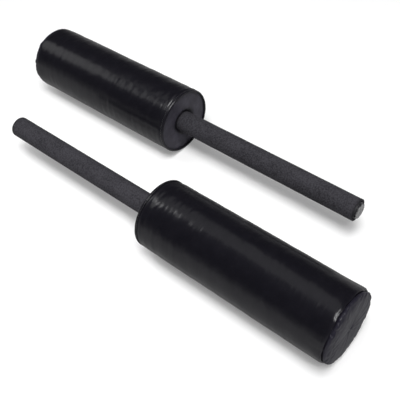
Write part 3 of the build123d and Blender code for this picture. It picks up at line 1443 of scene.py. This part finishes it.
@dataclass(frozen=True)
class Stitch:
    """One stitch of a row, a short thread that dives into the fabric at both ends.

    Attributes:
        pitch: Distance from stitch to stitch.
        length: Its length.
        thick: Thickness of its thread.
        sides: Points round the thread.
        ways: Where along its half length the thread's rings of points are.
    """

    pitch: float = 0.0034
    length: float = 0.0026
    thick: float = 0.0005
    sides: int = 6
    ways: tuple[float, ...] = (-0.8, -0.4, 0.0, 0.4, 0.8)

    def points(self) -> np.ndarray:
        """Give its points.

        Returns:
            Their places along it, beside it and above the fabric, one row each.
        """
        angles = np.arange(self.sides) * FULL_TURN / self.sides
        local = [(-1.0, 0.0, -0.5)]
        for way in self.ways:
            swell = math.sqrt(1.0 - way**2)
            lift = 0.25 * swell - 0.15
            local += [
                (way, 0.5 * swell * math.sin(angle), lift + 0.5 * swell * math.cos(angle))
                for angle in angles
            ]
        local.append((1.0, 0.0, -0.5))
        return np.array(local) * (self.length / 2.0, self.thick, self.thick)

    def faces(self) -> list[tuple[int, ...]]:
        """List its faces.

        Returns:
            Corners of each face, as rows of its points.
        """
        sides, rings = self.sides, len(self.ways)
        top = 1 + sides * (rings - 1)
        faces: list[tuple[int, ...]] = []
        for side in range(sides):
            beside = (side + 1) % sides
            faces.append((0, 1 + side, 1 + beside))
            for low in range(1, top, sides):
                high = low + sides
                faces.append((low + side, high + side, high + beside, low + beside))
            faces.append((top + side, top + sides, top + beside))
        return faces

    def sew(self, lie: Lie, name: str, where: Places, way: tuple[float, float]) -> None:
        """Sew a row of such stitches.

        Args:
            lie: How the stick lies.
            name: Name of the row, without the stick's name.
            where: Stations, reaches and turns of the stitches' middles.
            way: Small step along the row, as a station and a turn.
        """
        station, reach, turn = where
        centres = lie.place(station, reach, turn)
        along = lie.place(station + way[0], reach, turn + way[1]) - centres
        out = lie.place(station, reach + NUDGE, turn) - centres
        along = along / np.linalg.norm(along, axis=1, keepdims=True)
        out = out / np.linalg.norm(out, axis=1, keepdims=True)
        axes = np.stack((along, np.cross(out, along), out), axis=1)
        shape = self.points()
        points = centres[:, None, :] + shape @ axes
        firsts = range(0, len(centres) * len(shape), len(shape))
        faces = [tuple(first + at for at in face) for first in firsts for face in self.faces()]
        settle(mesh_object(f"{lie.body}_{name}", points, faces), lie.body, Finish.THREAD)


@dataclass
class RimBinding:
    """Folded binding over the rim, drawn in between its stitches.

    Attributes:
        form: Form of the pad.
        thick: Thickness of the binding.
        bend: Radius of its bends over the rim.
        outer_start: Station past those bends.
        outer_room: How far its last full course stays from its edge.
        row: Groove along its stitches, by distance from its edge.
        roll: Swell over the rim's edge.
        wander: How far its edge wanders.
        wander_size: Size of that along the pad and round it.
        wander_start: Where that sets in, by station.
        top_room: How far from its edge its outer face ends.
        edge_width: Width of the edge that wanders with that face.
        rub: Rubbed stretch at the rim.
        stitch: Stitch that holds it.
    """

    form: PadForm
    thick: float = 0.0005
    bend: float = 0.0011
    outer_start: float = 0.0018
    outer_room: float = 0.0004
    row: Ridge = Ridge(-0.00026, -0.0014, 0.0009)
    roll: Ridge = Ridge(0.0004, 0.0021, 0.0011)
    wander: float = 0.0003
    wander_size: tuple[float, float] = (0.02, 0.012)
    wander_start: Ramp = Ramp(0.002, 0.002)
    top_room: float = 0.0002
    edge_width: float = 0.0006
    rub: Ridge = Ridge(0.7, 0.0, 0.0025)
    stitch: Stitch = Stitch()

    def __post_init__(self) -> None:
        """Count the stitches round the rim."""
        self.count = round(FULL_TURN * self.form.sleeve.reach / self.stitch.pitch)

    def section(self) -> Section:
        """Draw the section that goes round the rim.

        Returns:
            Its points.
        """
        form, thick, bend, end = self.form, self.thick, self.bend, self.form.bound
        span = form.lie.span("shoulder_panel")
        inside, panel, under = span.reach - CLOTH - FIT, span.end - CLOTH - FIT, thick + FIT
        low = inside - thick
        top = form.outline(0.0) + FIT + thick
        edge = form.outline(end) + FIT
        outer = np.linspace(self.outer_start, end - self.outer_room, 7)
        return [
            (panel, low), (bend, low),
            *arc((bend, low + bend), bend, 270.0, 180.0, 6)[1:],
            *arc((bend, top - bend), bend, 180.0, 90.0, 6),
            *[(way, form.outline(way) + FIT + thick) for way in outer],
            (end, edge + 0.6 * thick), (end, edge), (under, form.outline(thick) + FIT),
            (under, inside), (panel, inside),
        ]

    def dress(self) -> None:
        """Make the binding and the ring of stitches that holds it."""
        form, end, turn = self.form, self.form.bound, circle(4 * self.count)
        station, reach = swept(self.section(), turn)
        top = form.outline(0.0) + FIT + self.thick
        on_top = (reach > top - self.thick) & (station < end - self.top_room)
        wander = form.slack.drift(Layer.BINDING, (station, reach, turn), *self.wander_size)
        pull = 0.6 + 0.4 * np.cos(turn * self.count)
        rise = self.roll.at(station) + self.row.at(station - end) * pull
        loose = on_top | (station > end - self.edge_width)
        loose = np.where(loose, self.wander_start.at(station), 0.0)
        reach = reach + np.where(on_top, rise, 0.0)
        station = station + loose * self.wander * wander
        courses = on_floor(form.lie.place(station, reach, turn))
        made = turned_object(f"{form.lie.body}_rim_binding", courses)
        mark(made, self.rub.at(station))
        settle(made, form.lie.body, Finish.COVER, "edge_binding")
        sewn = end + self.row.place
        where = (sewn, form.outline(sewn) + FIT + self.thick,
                 (np.arange(self.count) + 0.5) * FULL_TURN / self.count)
        self.stitch.sew(form.lie, "rim_stitches", where, (0.0, NUDGE))


@dataclass
class LapSeam:
    """Two rows of stitches along the sleeve's lap.

    Attributes:
        form: Form of the pad.
        start: Distance from the binding to the first stitch.
        end: Distance from the last one to the tip seam.
        insets: How far past the upper edge each row lies.
        lift: How far the thread's middle lies above the fabric.
        stitch: Stitch of both rows.
    """

    form: PadForm
    start: float = 0.004
    end: float = 0.012
    insets: tuple[float, float] = (0.0020, 0.0078)
    lift: float = 0.00003
    stitch: Stitch = Stitch()

    def dress(self) -> None:
        """Sew both rows."""
        form = self.form
        row = np.arange(form.bound + self.start, form.seam - self.end, self.stitch.pitch)
        station = np.tile(row, len(self.insets))
        turn = form.lap_turn + np.repeat(self.insets, len(row)) / form.sleeve.reach
        where = (station, form.skin(station, turn) + self.lift, turn)
        self.stitch.sew(form.lie, "lap_stitches", where, (NUDGE, 0.0))


@dataclass
class Grip:
    """Foam grip, squeezed where it enters the pad.

    Attributes:
        lie: How the stick lies.
        seed: Number that picks its lumps.
        dish: How far its cut end dips beside its outer edge.
        mouth: Where its bore opens at the butt: distances from its end and from its bore.
        mouth_length: Length over which the bore opens.
        squeeze: How far the pad squeezes it in.
        entry: How that sets in: distances from the pad's panel and from the squeezed reach.
        course: Distance between the courses of its plain side.
        end_room: How far those stay from its end and from the pad.
        lump: Height of the lumps in the foam.
        lump_size: Size of a lump along the grip and round it.
        fine_size: Size of the finer lumps.
        fine_shift: How far those are read along the same drift.
        lump_start: Where the lumps set in, by distance from the pad.
        bore_room: How far from the bore there are no lumps.
        sides: Points round the grip.
    """

    lie: Lie
    seed: int
    dish: float = 0.0009
    mouth: tuple[tuple[float, float], ...] = ((0.0003, 0.0020), (0.0, 0.0024), (0.004, 0.0009))
    mouth_length: float = 0.008
    squeeze: float = 0.00045
    entry: tuple[tuple[float, float], ...] = ((-0.003, 0.0004), (-0.0008, 0.0001), (0.0008, 0.0))
    course: float = 0.003
    end_room: float = 0.006
    lump: float = 0.00012
    lump_size: tuple[float, float] = (0.022, 0.012)
    fine_size: tuple[float, float] = (0.004, 0.004)
    fine_shift: float = 0.036
    lump_start: Ramp = Ramp(0.002, 0.004)
    bore_room: float = 0.001
    sides: int = 120

    def dress(self) -> None:
        """Make the grip."""
        lie, turn = self.lie, circle(self.sides)
        span = lie.span("grip_sleeve")
        start, full, squeezed = span.start, span.reach, span.reach - self.squeeze
        bore = lie.span("core_tube").reach + FIT
        panel = lie.span("shoulder_panel").end - CLOTH
        mouth = [(start + past, bore + wider) for past, wider in self.mouth]
        dips = self.dish * (1.0 - np.sin(np.radians(np.linspace(0.0, 90.0, 8))))
        ways = np.arange(start + self.end_room, panel - self.end_room, self.course)
        station, reach = swept([
            *mouth[:2],
            *[(start + dip, full - dip) for dip in dips],
            *[(way, full) for way in ways],
            *[(panel + past, squeezed + wider) for past, wider in self.entry],
            (span.end, squeezed), (span.end, bore),
            (start + self.mouth_length, bore), mouth[2],
        ], turn)
        drift = Drift(self.seed)
        coarse = drift.on_skin((station, reach, turn), *self.lump_size)
        fine = drift.on_skin((station + self.fine_shift, reach, turn), *self.fine_size)
        free = self.lump_start.at(panel - station) * (reach > bore + self.bore_room)
        reach = reach + free * self.lump * (coarse - 0.3 + 0.4 * fine)
        made = turned_object(f"{lie.body}_foam_grip", lie.place(station, reach, turn))
        settle(made, lie.body, Finish.GRIP, "grip_sleeve")


@dataclass
class Stuffing:
    """Soft foam inside the cover, shaped to the cover's inner face.

    Attributes:
        form: Form of the pad that it fills.
        clearance: Room between the foam and the cover.
        course: Distance between the courses of its side.
        step: How far before the tip seam the block behind the tip is drawn in.
        step_length: Length over which it is.
        neck: Its reach from there on.
        bevel: Length and width of the bevel round its face.
        face_room: Room that it leaves behind the tip panel.
        hole: Reach of the small hole along its axis.
        sides: Points round the foam.
    """

    form: PadForm
    clearance: float = 0.0006
    course: float = 0.008
    step: float = 0.014
    step_length: float = 0.0005
    neck: float = 0.048
    bevel: tuple[float, float] = (0.0008, 0.0025)
    face_room: float = 0.0014
    hole: float = 0.002
    sides: int = 96

    def block(self, name: str, node: str, side: tuple[float, float], rest: Section) -> None:
        """Make a foam block whose side follows the cover.

        Args:
            name: Name of the piece, without the stick's name.
            node: Solid that it stands for, without the stick's name.
            side: Stations where that side starts and ends.
            rest: Station and reach of each corner of its section after that side.
        """
        form, turn, (start, end) = self.form, circle(self.sides), side
        ways = np.linspace(start, end, max(3, round((end - start) / self.course)))[:, None]
        reach = np.minimum(form.skin(ways, turn), form.outline(ways)) - CLOTH - self.clearance
        rest_station, rest_reach = swept(rest, turn)
        station = np.concatenate((spread(ways[:, 0], turn), rest_station))
        reach = np.concatenate((reach, rest_reach))
        courses = on_floor(form.lie.place(station, reach, turn))
        made = turned_object(f"{form.lie.body}_{name}", courses)
        settle(made, form.lie.body, Finish.WRAP, node)

    def dress(self) -> None:
        """Make the foam round the core and the block behind the tip panel."""
        lie = self.form.lie
        wrap, bore = lie.span("foam_wrap"), lie.span("foam_core").reach + FIT
        sides = (wrap.start, wrap.end)
        self.block("soft_foam", "foam_wrap", sides, [(wrap.end, bore), (wrap.start, bore)])
        tip = lie.span("tip_cushion")
        step, face = self.form.seam - self.step, tip.end - self.face_room
        self.block("tip_foam", "tip_cushion", (tip.start, step), [
            (step + self.step_length, self.neck),
            (face - self.bevel[0], self.neck),
            (face, self.neck - self.bevel[1]),
            (face, self.hole),
            (tip.start, self.hole),
        ])


@dataclass
class Stick:
    """One training stick, with everything that is seen or hidden in it.

    Attributes:
        body: Name of its body.
        slack: How its cover fails to lie flat.
        hard: Finishes of the solids that stay as they are, by the solids' names.
    """

    body: str
    slack: Slack
    hard: tuple[tuple[str, Finish], ...] = (
        ("core_tube", Finish.TUBE),
        ("butt_plug", Finish.PLUG),
        ("tube_cap", Finish.CAP),
        ("foam_core", Finish.CORE),
        ("shoulder_board", Finish.BOARD),
        ("seam_tape", Finish.TAPE),
    )

    def dress(self) -> None:
        """Make or dress every piece of the stick."""
        lie = Lie.of_stick(self.body)
        form = PadForm(lie, self.slack)
        for kind in (Sleeve, TipPanel, ShoulderPanel, RimBinding, LapSeam, Stuffing):
            kind(form).dress()
        Grip(lie, seed_of(self.slack.seed, Layer.GRIP)).dress()
        for node, finish in self.hard:
            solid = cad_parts[f"{self.body}_{node}"]
            solid.data.materials.clear()
            solid.data.materials.append(finish.material())
            log.info("%s: dressed", solid.name)


@dataclass(frozen=True)
class Lamp:
    """A square soft box.

    Attributes:
        name: Its name.
        where: Its middle.
        size: Length of a side.
        level: How light it makes a white surface that faces it.
    """

    name: str
    where: tuple[float, float, float]
    size: float
    level: float

    def hang(self, aim: Vector) -> None:
        """Hang the lamp.

        Args:
            aim: Point that it faces.
        """
        light = bpy.data.lights.new(self.name, "AREA")
        light.size = self.size
        way = aim - Vector(self.where)
        light.energy = self.level * math.pi**2 * way.length**2
        lamp = bpy.data.objects.new(self.name, light)
        lamp.location = self.where
        lamp.rotation_mode = "QUATERNION"
        lamp.rotation_quaternion = way.to_track_quat("-Z", "Y")
        bpy.context.scene.collection.objects.link(lamp)


@dataclass(frozen=True)
class Viewpoint:
    """Where the camera stands.

    Attributes:
        target: Point in the middle of the view.
        azimuth: Angle round the upright axis, in degrees.
        elevation: Angle above the floor, in degrees.
        roll: Turn of the camera about its own line of sight, in degrees.
        distance: Distance from the target.
        lens: Focal length, in millimetres.
        sensor: Width of the sensor, in millimetres.
    """

    target: tuple[float, float, float] = (0.0487, 0.0006, 0.0)
    azimuth: float = 48.14
    elevation: float = 49.08
    roll: float = -10.0
    distance: float = 1.1157
    lens: float = 60.6
    sensor: float = 36.0

    def set_up(self) -> None:
        """Make the camera and hand it to the scene."""
        around, above = math.radians(self.azimuth), math.radians(self.elevation)
        back = Vector((
            math.sin(around) * math.cos(above),
            -math.cos(around) * math.cos(above),
            math.sin(above),
        ))
        lens = bpy.data.cameras.new("camera")
        lens.sensor_width = self.sensor
        lens.lens = self.lens
        camera = bpy.data.objects.new("camera", lens)
        facing = (-back).to_track_quat("-Z", "Y").to_matrix()
        rolled = facing @ Matrix.Rotation(math.radians(self.roll), 3, "Z")
        stand = Matrix.Translation(Vector(self.target) + back * self.distance)
        camera.matrix_world = stand @ rolled.to_4x4()
        bpy.context.scene.collection.objects.link(camera)
        bpy.context.scene.camera = camera


@dataclass(frozen=True)
class WhiteSweep:
    """Matte white of the sweep, which keeps the sticks' shadow.

    Attributes:
        name: Name of the material.
        white: Share of light that it sends back.
        plain_share: How much of its look is plain white.
    """

    name: str = "white_sweep"
    white: float = 0.95
    plain_share: float = 0.25

    def make(self) -> bpy.types.Material:
        """Make the material.

        Returns:
            The material.
        """
        recipe = Recipe(self.name)
        rays = recipe.node("LightPath", {}).outputs
        seen = recipe.reckon(rays["Is Camera Ray"], rays["Is Glossy Ray"], "MAXIMUM")
        seen = recipe.reckon(seen, rays["Is Transmission Ray"], "MAXIMUM")
        share = recipe.reckon(seen, self.plain_share, "MULTIPLY")
        matte = recipe.node("BsdfDiffuse", {"Color": (self.white,) * 3}).outputs[0]
        plain = recipe.node("Emission", {"Color": (1.0,) * 3, "Strength": 1.0}).outputs[0]
        return recipe.show(recipe.node("MixShader", {0: share, 1: matte, 2: plain}).outputs[0])


@dataclass
class Studio:
    """White sweep, soft lamps and camera.

    Attributes:
        rings: Radii of the rings of points in the flat floor.
        floor_radius: Radius of that floor.
        rise: Radius of the sweep's turned-up edge.
        sides: Points round the sweep.
        white: Finish of the sweep.
        dim: Level of the light from all round.
        lamps: The soft boxes.
        aim: Point that they face.
        viewpoint: Where the camera stands.
    """

    rings: tuple[float, ...] = (0.4, 1.2, 2.5)
    floor_radius: float = 5.0
    rise: float = 1.4
    sides: int = 96
    white: WhiteSweep = WhiteSweep()
    dim: float = 0.09
    lamps: tuple[Lamp, ...] = (
        Lamp("key_lamp", (0.82, -0.50, 3.40), 1.40, 0.90),
        Lamp("fill_lamp", (1.30, -0.52, 2.00), 0.26, 0.15),
        Lamp("top_lamp", (-0.85, 0.42, 2.40), 1.50, 0.11),
        Lamp("side_lamp", (-1.45, -0.26, 1.14), 0.70, 0.12),
        Lamp("near_lamp", (-0.30, -0.14, 0.60), 0.13, 0.13),
    )
    aim: tuple[float, float, float] = (0.0, 0.0, 0.05)
    viewpoint: Viewpoint = Viewpoint()

    def sweep(self) -> None:
        """Make the round floor, whose edge turns up into a low backdrop."""
        bends = np.radians(np.linspace(0.0, 75.0, 10))
        turn = circle(self.sides)
        radius = spread([*self.rings, *(self.floor_radius + self.rise * np.sin(bends))], turn)
        height = spread([*[0.0] * len(self.rings), *(self.rise * (1.0 - np.cos(bends)))], turn)
        courses = np.stack((radius * np.cos(turn), radius * np.sin(turn), height), axis=-1)
        faces = [corners[::-1] for corners in quads(*height.shape, closed=False)]
        faces.append(tuple(range(self.sides)))
        floor = mesh_object("sweep", courses, faces)
        floor.location.z = cad_box[0].z
        floor.data.materials.append(self.white.make())

    def set_up(self) -> None:
        """Build the studio round the pair."""
        self.sweep()
        world = bpy.data.worlds.new("studio")
        bpy.context.scene.world = world
        world.use_nodes = True
        background = world.node_tree.nodes["Background"]
        background.inputs["Color"].default_value = (1.0, 1.0, 1.0, 1.0)
        background.inputs["Strength"].default_value = self.dim
        for lamp in self.lamps:
            lamp.hang(Vector(self.aim))
        self.viewpoint.set_up()
        bpy.context.scene.view_settings.view_transform = "Standard"
        log.info("studio: %d lamps", len(self.lamps))


def main() -> None:
    """Dress both sticks and build the studio."""
    logging.basicConfig(level=logging.INFO, format="%(name)s: %(message)s")
    for stick in (
        Stick("stick_a", Slack(1, pucker=0.00010, rim_pucker=0.00060)),
        Stick("stick_b", Slack(2, pucker=0.00025, pucker_length=0.0068)),
    ):
        stick.dress()
    Studio().set_up()


if __name__ == "__main__":
    main()
